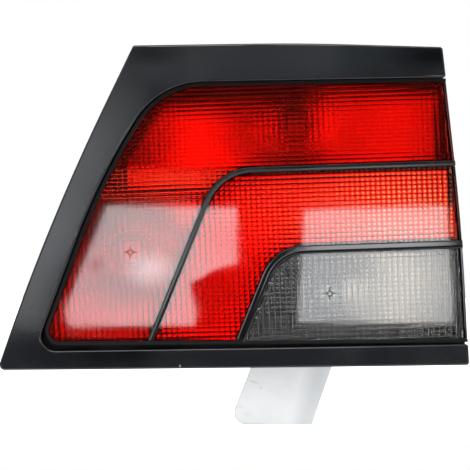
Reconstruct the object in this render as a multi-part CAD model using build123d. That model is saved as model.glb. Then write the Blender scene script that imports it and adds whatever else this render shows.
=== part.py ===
from build123d import *
import os
from math import atan2, cos, degrees, hypot, radians, sin, sqrt, tan

os.makedirs("parts", exist_ok=True)

# Right-hand boot-lid tail lamp. +X is to the right seen from behind the car, +Z is up and
# the lens faces -Y. The origin is on the axis of the upper right stud, in the plane where
# the rear face of the foam seal meets the boot lid.

# Outlines seen from behind the car: x, z and the corner radius at each corner.
OPENING = [(-176.3, 16.4, 52), (60, 20.7, 0), (60, -151.8, 0), (-256.2, -156.8, 9.5), (-215.5, -48.5, 400)]
TOP_BAR = 25.5
LOW_BAR = 12.5
LEFT_BAND = 24.3
TOP_Z = OPENING[0][1] + TOP_BAR
LOW_Z = OPENING[3][1] - LOW_BAR
LEFT_X = OPENING[3][0] - LEFT_BAND
RIGHT_TOP = (7.15, TOP_Z - 2.4)
RIGHT_MID = (19.5, -72.8)
RIGHT_LOW = (24.7, LOW_Z + 3.4)
RIGHT_BLEND = 1500
LEFT_BLEND = 1500
CORNER = 2.0
BEZEL_LEFT = [
    (LEFT_X, LOW_Z, 3.5),
    (LEFT_X + 32.4, LOW_Z + 93.3, LEFT_BLEND),
    (LEFT_X + 88.1, TOP_Z - 1.5, CORNER),
    (-84.5, TOP_Z, 1500),
]
LENS_INSETS = [(2.6, 2.6), (0, 0), (3.2, 5.85), (3.2, 3.2), (3.2, 3.2)]
LENS_CORNERS = [49, 0, 0, 7.5, 400]

# Ribs that divide the lens: corner of the centreline, bend radius, width.
RIB_LEAN = 22.0
RIB_RISE = 2.0
OUTER_RIB = (-137.15, -40.8)
OUTER_RIB_BEND = 33.0
OUTER_RIB_WIDTH = 3.2
INNER_RIB = (-99.8, -91.9)
INNER_RIB_BEND = 27.0
INNER_RIB_WIDTH = 5.0

# Crowned front: spheres that share one centre.
CROWN_R = 2000.0
CROWN_X = -117.0
CROWN_Z = -63.0
LAMP_DEPTH = 62.0
BEZEL_PROUD = 2.2
RIB_PROUD = 1.2
RIM_SINK = 1.4
RIM = 2.2
EDGE_ROUND = 1.2

# Walls and seats.
LENS_T = 2.6
LENS_ROUND = 2.0
RETURN_REAR = -28.0
FLUTE_PITCH = 3.4
FLUTE_WIDTH = 0.9
FLUTE_DEPTH = 0.5
FLUTE_COUNT = 90
GLUE_GAP = 0.15
LEDGE = 1.2
BEZEL_WALL = 2.4
SEAL_T = 6.0
BACK_WALL = 3.0
FLANGE_REAR = -30.0
FLANGE_T = 3.0
FLANGE_INSET = 0.5
PARTITION_T = 2.0
PARTITION_Z = -53.4
PARTITION_SPACE = 1.5
GUSSET_T = 2.2
GUSSET_RUN = 17.0
GUSSETS = [
    (-120, 15.2, 90, 15),
    (-85, 15.8, 90, 15),
    (-20, 17.0, 90, 15),
    (-202.6, -30, 149, 12),
    (-229.3, -90, 159, 14),
    (-160, -152.2, 270, 9),
    (-45, -151.4, 270, 9),
]

# Bulbs: x, z of each axis and the radius of the bowl behind it.
BULBS = {
    "upper": (-87.8, -13.0, 170),
    "lower_left": (-194.3, -93.0, 150),
    "reversing": (-65.6, -119.6, 120),
}
BACKING = (-131.3, -80.6, 300)
REVERSING_LEFT = -86.0
REVERSING_RIGHT = 17.0
REVERSING_TOP = -93.5
REVERSING_LOW = -141.5
UPPER_MARGIN = 5.0
UPPER_LEFT_TOP = 0.5
UPPER_LEFT_LOW = -38.5
UPPER_RIGHT_TOP = 9.5
UPPER_RIGHT_EDGE = 5.0
STEP_LEFT = -196.0
STEP_LOW = -51.0
STEP_Y = -46.0
STEP_DOWN = 2.6
STEP_TURN = 2.2
SKIN = 1.2
REFLECTOR_GAP = 0.5
REFLECTOR_SPACE = 4.0
BOWL_LIFT = 2.0
NECK_R = 13.5
NECK_WALL = 3.5
BULB_R = 12.5
BULB_TIP = -50.0
BULB_SKIN = 0.9
BULB_NECK_R = 6.4
FILAMENT_Y = -36.0
FILAMENT_R = 0.6
LEAD_R = 0.35
LEAD_SPREAD = 3.5
CAP_R = 7.5
CAP_FRONT = -17.0
CAP_REAR = -0.5
PIN_R = 1.0
SOCKET_R = 8.65
SOCKET_FRONT = -15.0
SOCKET_FLANGE_R = 10.4
SOCKET_END_T = 1.5
PIN_Y = -10.0
PIN_REACH = 8.4
SHEET_T = 0.8
FIT = 0.1

# Rear carrier, seals and plug.
CARRIER_R = 19.0
CARRIER_SEAL_T = 2.0
CARRIER_SEAL_INSET = 0.5
CARRIER_SEAL_WIDTH = 2.5
CARRIER_T = 2.5
CARRIER_BOSS_R = 12.0
CARRIER_BOSS_FRONT = -14.0
BOSS_PLAY = 0.6
CARRIER_RIM = 1.5
CARRIER_RIM_INSET = 3.0
CARRIER_RIM_H = 2.5
CATCH_LENGTH = 9.0
CATCH_T = 1.8
CATCH_LIP = 1.2
SEAL_GAP = 2.8
SEAL_WIDTH = 7.0
STRIP_WIDTH = 6.0
STRIP_RING_R = 13.8
STRIP_RUNS = [("upper", "reversing"), ("reversing", "lower_left")]
PLUG_X = -112.0
PLUG_Z = -66.0
PLUG_LENGTH = 36.0
PLUG_HEIGHT = 16.0
PLUG_WALL = 1.6
PLUG_REAR = 15.0
PLUG_FLOOR = 2.0
PIN_COUNT = 6
PIN_PITCH = 5.0
PIN_WIDTH = 2.8
PIN_REAR = 9.0

# Fixings: stud axes, screws and the white bracket.
STUDS = {"upper_right": (0, 0), "lower_left": (-222.3, -130.0), "lower_right": (0, -124.8)}
STUD_R = 3.0
STUD_END = 20.0
STUD_COLLAR_R = 6.0
STUD_COLLAR_T = 1.5
STUD_ROOT_R = 3.4
BOSS_R = 8.0
BOSS_REAR = -3.0
BOSS_FRONT = -12.5
STUD_COVER = 1.0
TOP_MID = TOP_Z - TOP_BAR / 2
LOW_MID = LOW_Z + LOW_BAR / 2
LEFT_MID = LEFT_X + LEFT_BAND / 2
BEZEL_SCREWS = [
    (-150, TOP_MID),
    (-55, TOP_MID + 1),
    (LEFT_MID + 43.4, -50),
    (LEFT_MID + 11.5, -130),
    (-190, LOW_MID + 0.7),
    (-20, LOW_MID + 3),
]
BRACKET_SCREWS = [(-108, LOW_MID + 1.5), (-80, LOW_MID + 1.7)]
SCREW_R = 1.2
SCREW_HEAD_R = 3.2
SCREW_HEAD_T = 2.2
SCREW_CROSS = 3.4
SCREW_CROSS_W = 0.8
SCREW_CROSS_D = 1.2
SCREW_LENGTH = 12.0
BRACKET_SCREW_LENGTH = 7.0
SCREW_PLAY = 0.4
SCREW_BITE = 0.05
SCREW_BOSS_R = 3.2
BRACKET_T = 1.5
BRACKET_DROP = 36.4
BRACKET_TOP = LOW_MID + 7
BRACKET_LOW = LOW_Z - BRACKET_DROP
BRACKET = [
    (-111.6, BRACKET_TOP, 2),
    (-59.2, BRACKET_TOP, 2),
    (-76.4, BRACKET_LOW, 1),
    (-131, BRACKET_LOW, 8),
]
BRACKET_FOLD_IN = 9.5
BRACKET_STEP = 0.5
BRACKET_FLAT_Z = LOW_Z - 1.7

FAR = 90.0
WIDE = 500.0
HOUSING_REAR = -SEAL_T
WALL_FRONT = HOUSING_REAR - BACK_WALL
FLANGE_FRONT = FLANGE_REAR - FLANGE_T
CARRIER_FRONT = HOUSING_REAR + CARRIER_SEAL_T
CARRIER_REAR = CARRIER_FRONT + CARRIER_T


def outline(corners):
    """Closed face from corners given as x, z, radius."""
    points = [(x, z) for x, z, r in corners]
    return make_face(FilletPolyline(*points, radius=[r for x, z, r in corners], close=True))


def inset(corners, gaps, radii):
    """Corners of a clockwise outline after each edge moves inward by its start and end gap."""
    lines = []
    for (x0, z0, r0), (x1, z1, r1), (g0, g1) in zip(corners, corners[1:] + corners[:1], gaps):
        length = hypot(x1 - x0, z1 - z0)
        nx, nz = (z1 - z0) / length, (x0 - x1) / length
        ax, az = x0 + nx * g0, z0 + nz * g0
        lines.append((ax, az, x1 + nx * g1 - ax, z1 + nz * g1 - az))
    result = []
    for (ax, az, ux, uz), (bx, bz, vx, vz), r in zip(lines[-1:] + lines[:-1], lines, radii):
        t = ((bx - ax) * vz - (bz - az) * vx) / (ux * vz - uz * vx)
        result.append((ax + t * ux, az + t * uz, r))
    return result


def right_side(d):
    """Everything to the left of the lamp's right edge moved left by d."""
    (xt, zt), (xm, zm), (xl, zl) = RIGHT_TOP, RIGHT_MID, RIGHT_LOW
    top = (xm + (xt - xm) * 2, zm + (zt - zm) * 2, 0)
    low = (xm + (xl - xm) * 2, zm + (zl - zm) * 2, 0)
    face = outline([(-WIDE, top[1], 0), top, (xm, zm, RIGHT_BLEND), low, (-WIDE, low[1], 0)])
    return offset(face, -d) if d else face


def hook(corner, bend):
    """Everything below and to the right of a rib centreline."""
    x, z = corner
    foot = (x - WIDE * tan(radians(RIB_LEAN)), z - WIDE, 0)
    far = (x + WIDE, z + WIDE * tan(radians(RIB_RISE)), 0)
    return outline([foot, (x, z, bend), far, (x + WIDE, z - WIDE, 0)])


def box(x0, x1, z0, z1):
    """Rectangle between two values of x and of z."""
    return Pos((x0 + x1) / 2, (z0 + z1) / 2) * Rectangle(x1 - x0, z1 - z0)


def prism(face, back, front):
    """Solid on a face drawn in x and z, from y = back forward to y = front."""
    return extrude(Plane.XZ.offset(-back) * face, amount=back - front)


def rod(x, z, r, back, front):
    """Cylinder along y."""
    return prism(Pos(x, z) * Circle(r), back, front)


def crown(proud):
    """Ball whose front is the lens crown moved forward by proud."""
    return Pos(CROWN_X, CROWN_R - LAMP_DEPTH, CROWN_Z) * Sphere(CROWN_R + proud)


def on_crown(edge, proud):
    """True for an edge that lies on the crown moved forward by proud."""
    centre = Vector(CROWN_X, CROWN_R - LAMP_DEPTH, CROWN_Z)
    return all(abs((edge @ t - centre).length - CROWN_R - proud) < 0.01 for t in (0, 0.3, 0.7, 1))


def screw(x, z, seat, length):
    """Pan-head screw whose head sits on y = seat."""
    shank = rod(x, z, SCREW_R, seat, seat - length)
    head = rod(x, z, SCREW_HEAD_R, seat + SCREW_HEAD_T, seat)
    rear = head.faces().sort_by(Axis.Y)[-1]
    head = fillet(rear.edges(), SCREW_HEAD_T * 0.4)
    cross = Rectangle(SCREW_CROSS, SCREW_CROSS_W) + Rectangle(SCREW_CROSS_W, SCREW_CROSS)
    top = seat + SCREW_HEAD_T
    return head + shank - prism(Pos(x, z) * cross, top, top - SCREW_CROSS_D)


def gusset(x, z, angle, height):
    """Web from the flange to the tray wall; angle is the way out from the wall."""
    c, s = cos(radians(angle)), sin(radians(angle))
    plane = Plane(origin=(x, FLANGE_REAR, z), x_dir=(c, 0, s), z_dir=(-s, 0, c))
    web = make_face(Polyline((-1, -1), (height, -1), (height, 1), (-1, GUSSET_RUN), close=True))
    return extrude(plane * web, amount=GUSSET_T / 2, both=True)


def glass_shape(x, z, ball_y, skin):
    """Ball and neck of a bulb, smaller all round by skin."""
    ball = Pos(x, ball_y, z) * Sphere(BULB_R - skin)
    length = (CAP_FRONT - ball_y) * 0.6
    shoulder = sqrt(BULB_R**2 - (CAP_FRONT - ball_y - length) ** 2) - skin
    neck = Rot(90, 0, 0) * Cone(BULB_NECK_R - skin, shoulder, length)
    return ball + Pos(x, CAP_FRONT - length / 2, z) * neck


def save(name, shape):
    """Write one piece."""
    shape.label = name
    export_step(shape, f"parts/{name}.step")


# Faces that the pieces share.
bezel_outer = outline(
    BEZEL_LEFT + [(*RIGHT_TOP, CORNER), (*RIGHT_MID, RIGHT_BLEND), (*RIGHT_LOW, CORNER)]
)
bezel_face = bezel_outer - outline(OPENING)
bar_ends = bezel_face.vertices().filter_by(lambda v: v.X > 0).sort_by(Axis.Y)
bezel_face = fillet(bar_ends[2:4] if len(bar_ends) > 3 else bar_ends, CORNER * 0.8)
lens_face = outline(inset(OPENING, LENS_INSETS, LENS_CORNERS)) & right_side(0)
outer_hook = hook(OUTER_RIB, OUTER_RIB_BEND)
inner_hook = hook(INNER_RIB, INNER_RIB_BEND)
panels = {
    "outer": lens_face - offset(outer_hook, OUTER_RIB_WIDTH / 2),
    "middle": (lens_face & offset(outer_hook, -OUTER_RIB_WIDTH / 2)) - offset(inner_hook, INNER_RIB_WIDTH / 2),
    "reversing": lens_face & offset(inner_hook, -INNER_RIB_WIDTH / 2),
}
RETURN_SPACE = LENS_T + 2 * GLUE_GAP
chambers = {name: offset(face & right_side(RETURN_SPACE), -LEDGE) for name, face in panels.items()}

# Bezel: crowned channel with screw bosses inside.
bezel = prism(bezel_face, FLANGE_FRONT, -FAR) & crown(BEZEL_PROUD)
bezel = fillet(bezel.edges().filter_by(lambda e: on_crown(e, BEZEL_PROUD)), EDGE_ROUND)
bezel -= prism(offset(bezel_face, -BEZEL_WALL), FLANGE_FRONT, -FAR) & crown(BEZEL_PROUD - BEZEL_WALL)
for x, z in BEZEL_SCREWS:
    bezel += rod(x, z, SCREW_BOSS_R, FLANGE_FRONT, -FAR) & crown(BEZEL_PROUD - BEZEL_WALL / 2)
    bezel -= rod(x, z, SCREW_R + SCREW_BITE, FLANGE_FRONT, FLANGE_REAR - SCREW_LENGTH - 1)
save("bezel", bezel)

# Lens panels: crowned plates with a return wall down the right edge and flutes inside.
slots = GridLocations(FLUTE_PITCH, 1, FLUTE_COUNT, 1)
flutes = Pos(CROWN_X, CROWN_Z) * (Sketch() + slots * Rectangle(FLUTE_WIDTH, WIDE))
for name, face in panels.items():
    inner = offset(face, -GLUE_GAP)
    lens = prism(inner, RETURN_REAR, -FAR) & crown(0)
    wall = right_side(GLUE_GAP + LENS_T)
    lens -= prism(offset(face, 1) & wall, RETURN_REAR, -FAR) & crown(-LENS_T)
    edges = lens.edges().filter_by(lambda e: on_crown(e, 0)).sort_by(Axis.X)
    lens = fillet(edges[-1:], LENS_ROUND)
    lens -= prism(flutes & chambers[name], RETURN_REAR, -FAR) & crown(FLUTE_DEPTH - LENS_T)
    save(f"lens_{name}", lens)

# Housing: walled tray, flange for the bezel, bosses and catches.
carrier_face = make_hull([(Pos(x, z) * Circle(CARRIER_R)).edge() for x, z, r in BULBS.values()])
hull_corners = [BULBS[name] for name in ("upper", "reversing", "lower_left")]
housing = prism(offset(lens_face, RIM) & right_side(0), HOUSING_REAR, -FAR) & crown(RIB_PROUD)
housing -= prism(offset(lens_face, RIM + 1) - lens_face, HOUSING_REAR, -FAR) - crown(-RIM_SINK)
for face in panels.values():
    housing -= prism(face, WALL_FRONT, -FAR) - crown(-LENS_T)
housing += prism(offset(bezel_outer, -FLANGE_INSET), FLANGE_REAR, FLANGE_FRONT)
for name, face in panels.items():
    housing -= prism(offset(face, GLUE_GAP) - right_side(RETURN_SPACE), RETURN_REAR, -FAR)
    housing -= prism(chambers[name], WALL_FRONT, -FAR)
for x, z, r in BULBS.values():
    housing -= rod(x, z, CARRIER_BOSS_R + BOSS_PLAY, HOUSING_REAR + 1, WALL_FRONT - 1)
half = PARTITION_T / 2
partition = panels["outer"] & box(-WIDE, WIDE, PARTITION_Z - half, PARTITION_Z + half)
housing += prism(partition, HOUSING_REAR, -FAR) & crown(-LENS_T - REFLECTOR_SPACE)
for x, z in STUDS.values():
    housing += rod(x, z, BOSS_R, BOSS_REAR, BOSS_FRONT)
    housing -= rod(x, z, STUD_ROOT_R + SCREW_BITE, BOSS_REAR, BOSS_FRONT + STUD_COVER)
for x, z, angle, height in GUSSETS:
    housing += gusset(x, z, angle, height)
for x, z in BEZEL_SCREWS:
    housing -= rod(x, z, SCREW_R + SCREW_PLAY, FLANGE_REAR + 1, FLANGE_FRONT - 1)
for x, z in BRACKET_SCREWS:
    housing -= rod(x, z, SCREW_R + SCREW_BITE, FLANGE_REAR + 1, FLANGE_FRONT - 1)
for (xa, za, ra), (xb, zb, rb) in zip(hull_corners, hull_corners[1:] + hull_corners[:1]):
    middle = Pos((xa + xb) / 2, (za + zb) / 2) * Rot(0, 0, degrees(atan2(zb - za, xb - xa)))
    reach = CARRIER_R + FIT + CATCH_T
    post = middle * Pos(0, reach - CATCH_T / 2) * Rectangle(CATCH_LENGTH, CATCH_T)
    lip_width = CATCH_T + FIT + CATCH_LIP
    lip = middle * Pos(0, reach - lip_width / 2) * Rectangle(CATCH_LENGTH, lip_width)
    housing += prism(post, CARRIER_REAR, HOUSING_REAR - 1)
    housing += prism(lip, CARRIER_REAR + CATCH_LIP, CARRIER_REAR)
save("housing", housing)

# Reflectors: bowls round the bulbs, and the bowl that backs the middle panel.
upper_x = BULBS["upper"][0]
upper = chambers["outer"] & offset(lens_face, -UPPER_MARGIN)
upper_right = chambers["outer"] & box(upper_x, UPPER_RIGHT_EDGE, -WIDE, UPPER_RIGHT_TOP)
floors = {
    "upper": (upper & box(-WIDE, upper_x, UPPER_LEFT_LOW, UPPER_LEFT_TOP)) + upper_right,
    "lower_left": chambers["outer"] & box(-WIDE, WIDE, -WIDE, PARTITION_Z - PARTITION_SPACE),
    "middle": chambers["middle"],
    "reversing": chambers["reversing"]
    & box(REVERSING_LEFT, REVERSING_RIGHT, REVERSING_LOW, REVERSING_TOP),
}
for name, floor in floors.items():
    x, z, r = BULBS.get(name, BACKING)
    apex = WALL_FRONT - BOWL_LIFT
    bowl = Pos(x, apex - r, z)
    shell = bowl * Sphere(r + SKIN) - bowl * Sphere(r)
    body = prism(offset(floor, -REFLECTOR_GAP), WALL_FRONT, -FAR) & shell & crown(-LENS_T - REFLECTOR_SPACE)
    body += rod(x, z, NECK_R + NECK_WALL, WALL_FRONT, apex)
    if name in BULBS:
        body -= rod(x, z, NECK_R, WALL_FRONT, -FAR)
    if name == "upper":
        inside = offset(upper, -REFLECTOR_GAP)
        step = inside & box(STEP_LEFT, upper_x, STEP_LOW, UPPER_LEFT_LOW)
        middle = Pos(STEP_LEFT * 0.7 + upper_x * 0.3, STEP_Y, (STEP_LOW + UPPER_LEFT_LOW) / 2)
        plate = middle.inverse() * prism(step, STEP_Y, STEP_Y - SKIN)
        body += middle * Rot(STEP_DOWN, 0, -STEP_TURN) * plate
        web = box(STEP_LEFT, upper_x, UPPER_LEFT_LOW - SKIN, UPPER_LEFT_LOW + 1.5 * REFLECTOR_GAP)
        body += prism(inside & web, WALL_FRONT, STEP_Y - 2 * SKIN)
    save(f"reflector_{name}", body)

# Bulbs and lampholders.
for name, (x, z, r) in BULBS.items():
    ball_y = BULB_TIP + BULB_R
    glass = glass_shape(x, z, ball_y, 0) - glass_shape(x, z, ball_y, BULB_SKIN)
    save(f"bulb_{name}", glass)
    cap = rod(x, z, CAP_R, CAP_REAR, CAP_FRONT)
    cap += Pos(x, PIN_Y, z) * Rot(0, 90, 0) * Cylinder(PIN_R, 2 * PIN_REACH)
    save(f"cap_{name}", cap)
    filament = Pos(x, FILAMENT_Y, z) * Rot(0, 90, 0) * Cylinder(FILAMENT_R, 2 * LEAD_SPREAD)
    for side in (-1, 1):
        filament += rod(x + side * LEAD_SPREAD, z, LEAD_R, CAP_FRONT, FILAMENT_Y)
    save(f"filament_{name}", filament)
    socket = rod(x, z, SOCKET_R, CAP_REAR + SOCKET_END_T, SOCKET_FRONT)
    socket += rod(x, z, SOCKET_FLANGE_R, CARRIER_REAR + SHEET_T, CARRIER_REAR)
    socket -= rod(x, z, CAP_R + FIT, CAP_REAR, SOCKET_FRONT)
    slot_end = PIN_Y + PIN_R + FIT
    slot = box(x - SOCKET_R - 1, x + SOCKET_R + 1, z - PIN_R - FIT, z + PIN_R + FIT)
    socket -= prism(slot, slot_end, SOCKET_FRONT)
    save(f"socket_{name}", socket)

# Rear carrier with its rim and a boss round each lampholder.
rim_out = offset(carrier_face, -CARRIER_RIM_INSET)
carrier = prism(carrier_face, CARRIER_REAR, CARRIER_FRONT)
carrier += prism(rim_out - offset(rim_out, -CARRIER_RIM), CARRIER_REAR + CARRIER_RIM_H, CARRIER_REAR)
for x, z, r in BULBS.values():
    carrier += rod(x, z, CARRIER_BOSS_R, CARRIER_FRONT, CARRIER_BOSS_FRONT)
    carrier -= rod(x, z, SOCKET_R + SCREW_BITE, CARRIER_REAR, CARRIER_BOSS_FRONT)
save("bulb_carrier", carrier)
gasket = offset(carrier_face, -CARRIER_SEAL_INSET)
save("carrier_seal", prism(gasket - offset(gasket, -CARRIER_SEAL_WIDTH), CARRIER_FRONT, HOUSING_REAR))
ring = offset(carrier_face, SEAL_GAP)
save("body_seal", prism(offset(ring, SEAL_WIDTH) - ring, 0, HOUSING_REAR))

# Earth strip: one stamped sheet with a ring round each lampholder.
strip = Sketch()
for first, second in STRIP_RUNS:
    (xa, za, ra), (xb, zb, rb) = BULBS[first], BULBS[second]
    run = Rectangle(hypot(xb - xa, zb - za), STRIP_WIDTH)
    strip += Pos((xa + xb) / 2, (za + zb) / 2) * Rot(0, 0, degrees(atan2(zb - za, xb - xa))) * run
    strip += Pos(xa, za) * Circle(STRIP_RING_R) + Pos(xb, zb) * Circle(STRIP_RING_R)
for x, z, r in BULBS.values():
    strip -= Pos(x, z) * Circle(SOCKET_FLANGE_R + FIT)
save("earth_strip", prism(strip, CARRIER_REAR + SHEET_T, CARRIER_REAR))

# Plug socket and its blades.
plug_at = Pos(PLUG_X, PLUG_Z)
shroud = prism(plug_at * RectangleRounded(PLUG_LENGTH, PLUG_HEIGHT, 3), PLUG_REAR, CARRIER_REAR)
cavity = RectangleRounded(PLUG_LENGTH - 2 * PLUG_WALL, PLUG_HEIGHT - 2 * PLUG_WALL, 3 - PLUG_WALL)
shroud -= prism(plug_at * cavity, PLUG_REAR, CARRIER_REAR + PLUG_FLOOR)
latch = Pos(PLUG_X, PLUG_Z + PLUG_HEIGHT / 2) * Rectangle(8, 3)
shroud += prism(latch, PLUG_REAR - 3, PLUG_REAR - 7) - prism(plug_at * cavity, PLUG_REAR, CARRIER_REAR)
blades = []
for i in range(PIN_COUNT):
    at = Pos(PLUG_X + (i - (PIN_COUNT - 1) / 2) * PIN_PITCH, PLUG_Z)
    shroud -= prism(at * Rectangle(PIN_WIDTH + FIT, SHEET_T + FIT), CARRIER_REAR + PLUG_FLOOR, CARRIER_REAR)
    blades.append(prism(at * Rectangle(PIN_WIDTH, SHEET_T), PIN_REAR, CARRIER_REAR))
save("connector_shroud", shroud)
save("connector_pins", Compound(children=blades))

# Studs, screws and the bracket.
for name, (x, z) in STUDS.items():
    shaft = rod(x, z, STUD_R, STUD_END, BOSS_REAR)
    stud = chamfer(shaft.faces().sort_by(Axis.Y)[-1].edges(), STUD_R * 0.25)
    stud += rod(x, z, STUD_COLLAR_R, BOSS_REAR + STUD_COLLAR_T, BOSS_REAR)
    stud += rod(x, z, STUD_ROOT_R, BOSS_REAR, BOSS_FRONT + STUD_COVER)
    save(f"stud_{name}", stud)
save("bezel_screws", Compound(children=[screw(x, z, FLANGE_REAR, SCREW_LENGTH) for x, z in BEZEL_SCREWS]))

plate = outline(BRACKET)
(xa, za, ra), (xb, zb, rb) = BRACKET[1], BRACKET[2]
fold = [(xa - BRACKET_FOLD_IN, za, 0), (xa + WIDE, za, 0), (xb + WIDE, zb, 0), (xb - BRACKET_FOLD_IN, zb, 0)]
strip_face = plate & outline(fold)
bracket = prism(plate - strip_face, FLANGE_REAR + BRACKET_T, FLANGE_REAR)
step = FLANGE_REAR + BRACKET_STEP
low_strip = strip_face & box(-WIDE, WIDE, -WIDE, BRACKET_FLAT_Z)
bracket += prism(low_strip, step + BRACKET_T, step)
bracket += prism(strip_face - low_strip, FLANGE_REAR + BRACKET_T, FLANGE_REAR)
for x, z in BRACKET_SCREWS:
    bracket -= rod(x, z, SCREW_R + SCREW_PLAY, FLANGE_REAR + BRACKET_T, FLANGE_REAR)
save("fixing_bracket", bracket)
seat = FLANGE_REAR + BRACKET_T
short = [screw(x, z, seat, BRACKET_SCREW_LENGTH) for x, z in BRACKET_SCREWS]
save("bracket_screws", Compound(children=short))
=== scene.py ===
import bmesh
import bpy
import math
import numpy as np
from collections import namedtuple
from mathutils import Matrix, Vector
from mathutils.bvhtree import BVHTree


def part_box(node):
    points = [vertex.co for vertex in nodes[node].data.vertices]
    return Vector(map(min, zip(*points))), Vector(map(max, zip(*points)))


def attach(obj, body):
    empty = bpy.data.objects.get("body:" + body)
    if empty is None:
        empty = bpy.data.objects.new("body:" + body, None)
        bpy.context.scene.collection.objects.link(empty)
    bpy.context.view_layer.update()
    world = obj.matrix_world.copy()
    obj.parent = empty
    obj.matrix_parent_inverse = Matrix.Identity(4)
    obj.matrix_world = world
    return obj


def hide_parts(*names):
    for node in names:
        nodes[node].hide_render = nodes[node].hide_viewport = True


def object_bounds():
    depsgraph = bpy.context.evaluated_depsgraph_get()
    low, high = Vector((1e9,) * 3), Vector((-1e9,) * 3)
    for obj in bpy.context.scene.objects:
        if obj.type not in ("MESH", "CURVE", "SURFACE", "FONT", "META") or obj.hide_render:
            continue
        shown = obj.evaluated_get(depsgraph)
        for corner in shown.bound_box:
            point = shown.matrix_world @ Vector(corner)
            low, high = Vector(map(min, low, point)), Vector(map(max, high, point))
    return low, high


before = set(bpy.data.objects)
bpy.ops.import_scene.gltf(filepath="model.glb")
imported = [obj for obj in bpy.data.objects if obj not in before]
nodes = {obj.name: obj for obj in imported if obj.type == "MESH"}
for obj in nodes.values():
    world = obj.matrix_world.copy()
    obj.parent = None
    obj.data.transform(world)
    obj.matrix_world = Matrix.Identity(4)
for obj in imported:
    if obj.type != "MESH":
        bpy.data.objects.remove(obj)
cad_low, cad_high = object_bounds()
scene = bpy.context.scene
MM = 0.001
FULL_TURN = 2 * math.pi
WHITE = (1.0, 1.0, 1.0)

# The crowned front: centre and radius in millimetres, and the lens plate behind it.
CROWN = np.array([-117.0, 1938.0, -63.0])
CROWN_R = 2000.0
LENS_T = 2.6

# The moulded optics: the rise of their rows in degrees, and the pitch of each lens across and up.
PILLOW_RISE = 2.0
OUTER_PITCH = (3.37, 2.58)
MIDDLE_PITCH = (3.35, 2.9)
CLEAR_PITCH = (3.65, 3.05)

# Depths of the optics in millimetres: sag across, sag up, groove across and groove up.
UPPER_OPTICS = (0.32, 0.33, 0.0, 0.0)
STRIP_OPTICS = (0.42, 0.36, 0.14, 0.14)
LOW_OPTICS = (0.30, 0.13, 0.05, 0.0)
FLUTE_OPTICS = (0.45, 0.03, 0.10, 0.0)
MIDDLE_OPTICS = (0.35, 0.33, 0.08, 0.08)
CLEAR_OPTICS = (0.11, 0.05, 0.26, 0.12)

# Heights on the outer lens: its strip, the end of its upper part, and where low pillows turn to flutes.
STRIP_TOP = -39.5
UPPER_END = -60.9
FLUTES_TOP = -108.0
FLUTES_BLEND = 16.0


# Objects and shading
def link(obj):
    scene.collection.objects.link(obj)
    return obj


def mesh_object(name, verts, faces):
    mesh = bpy.data.meshes.new(name)
    mesh.from_pydata([tuple(v) for v in verts], [], [tuple(f) for f in faces])
    mesh.update()
    return link(bpy.data.objects.new(name, mesh))


def smooth(mesh, degrees):
    """Smooth shading, with a sharp edge wherever two faces meet at more than some degrees."""
    mesh.polygons.foreach_set("use_smooth", np.ones(len(mesh.polygons), bool))
    mesh.set_sharp_from_angle(angle=math.radians(degrees))


def add(obj, finish):
    obj.data.materials.append(finish)
    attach(obj, "root")


# Shader nodes
# A soft spot: centre and half size in millimetres, strength, and lean in degrees.
Spot = namedtuple("Spot", "x z wide high strength lean", defaults=(1.0, 0))
# Share of a spot's half size that has its full strength.
SPOT_CORE = 0.2
# Shares of a pillow's pitch at which its bright middle starts to fade and has faded.
DOT_CORE = 0.12
DOT_RIM = 0.42
HALF_CELL = (0.5, 0.5, 0.5)
# Likeness of the rounded normal to the true one where an edge takes full painted shade, and on a whole
# face.
EDGE_FULL_SHADE = 0.75
EDGE_WHOLE = 0.98
# Scale in depth that is too large for depth to count.
ANY_DEPTH = 1000.0
GRAIN_STRENGTH = 0.6
GRAIN_DETAIL = 3.0


def shader(name):
    made = bpy.data.materials.new(name)
    made.use_nodes = True
    return made, made.node_tree, made.node_tree.nodes["Principled BSDF"]


def noise_of(tree, scale, detail=5.0):
    coords = tree.nodes.new("ShaderNodeTexCoord")
    noise = tree.nodes.new("ShaderNodeTexNoise")
    noise.inputs["Scale"].default_value = scale
    noise.inputs["Detail"].default_value = detail
    tree.links.new(coords.outputs["Object"], noise.inputs["Vector"])
    return noise.outputs["Fac"]


def ranged(tree, source, low, high, start=0.3, end=0.7):
    """Value that runs from low to high while the source runs from start to end."""
    node = tree.nodes.new("ShaderNodeMapRange")
    node.inputs["From Min"].default_value = start
    node.inputs["From Max"].default_value = end
    node.inputs["To Min"].default_value = low
    node.inputs["To Max"].default_value = high
    tree.links.new(source, node.inputs["Value"])
    return node.outputs["Result"]


def ramp(tree, source, stops):
    node = tree.nodes.new("ShaderNodeValToRGB")
    band = node.color_ramp
    while len(band.elements) < len(stops):
        band.elements.new(0.5)
    for element, (position, colour) in zip(band.elements, stops):
        element.position = position
        element.color = (*colour, 1.0)
    tree.links.new(source, node.inputs["Fac"])
    return node.outputs["Color"]


def joined(tree, operation, first, second):
    """Sum or product of two values."""
    node = tree.nodes.new("ShaderNodeMath")
    node.operation = operation
    tree.links.new(first, node.inputs[0])
    tree.links.new(second, node.inputs[1])
    return node.outputs["Value"]


def multiplied(tree, first, second):
    """Product of two colours."""
    node = tree.nodes.new("ShaderNodeMix")
    node.data_type = "RGBA"
    node.blend_type = "MULTIPLY"
    node.inputs["Factor"].default_value = 1.0
    tree.links.new(first, node.inputs["A"])
    tree.links.new(second, node.inputs["B"])
    return node.outputs["Result"]


def mixed(tree, share, colour, tone):
    """Colour that turns to a tone as the share grows."""
    node = tree.nodes.new("ShaderNodeMix")
    node.data_type = "RGBA"
    node.inputs["B"].default_value = (*tone, 1.0)
    tree.links.new(share, node.inputs["Factor"])
    tree.links.new(colour, node.inputs["A"])
    return node.outputs["Result"]


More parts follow.
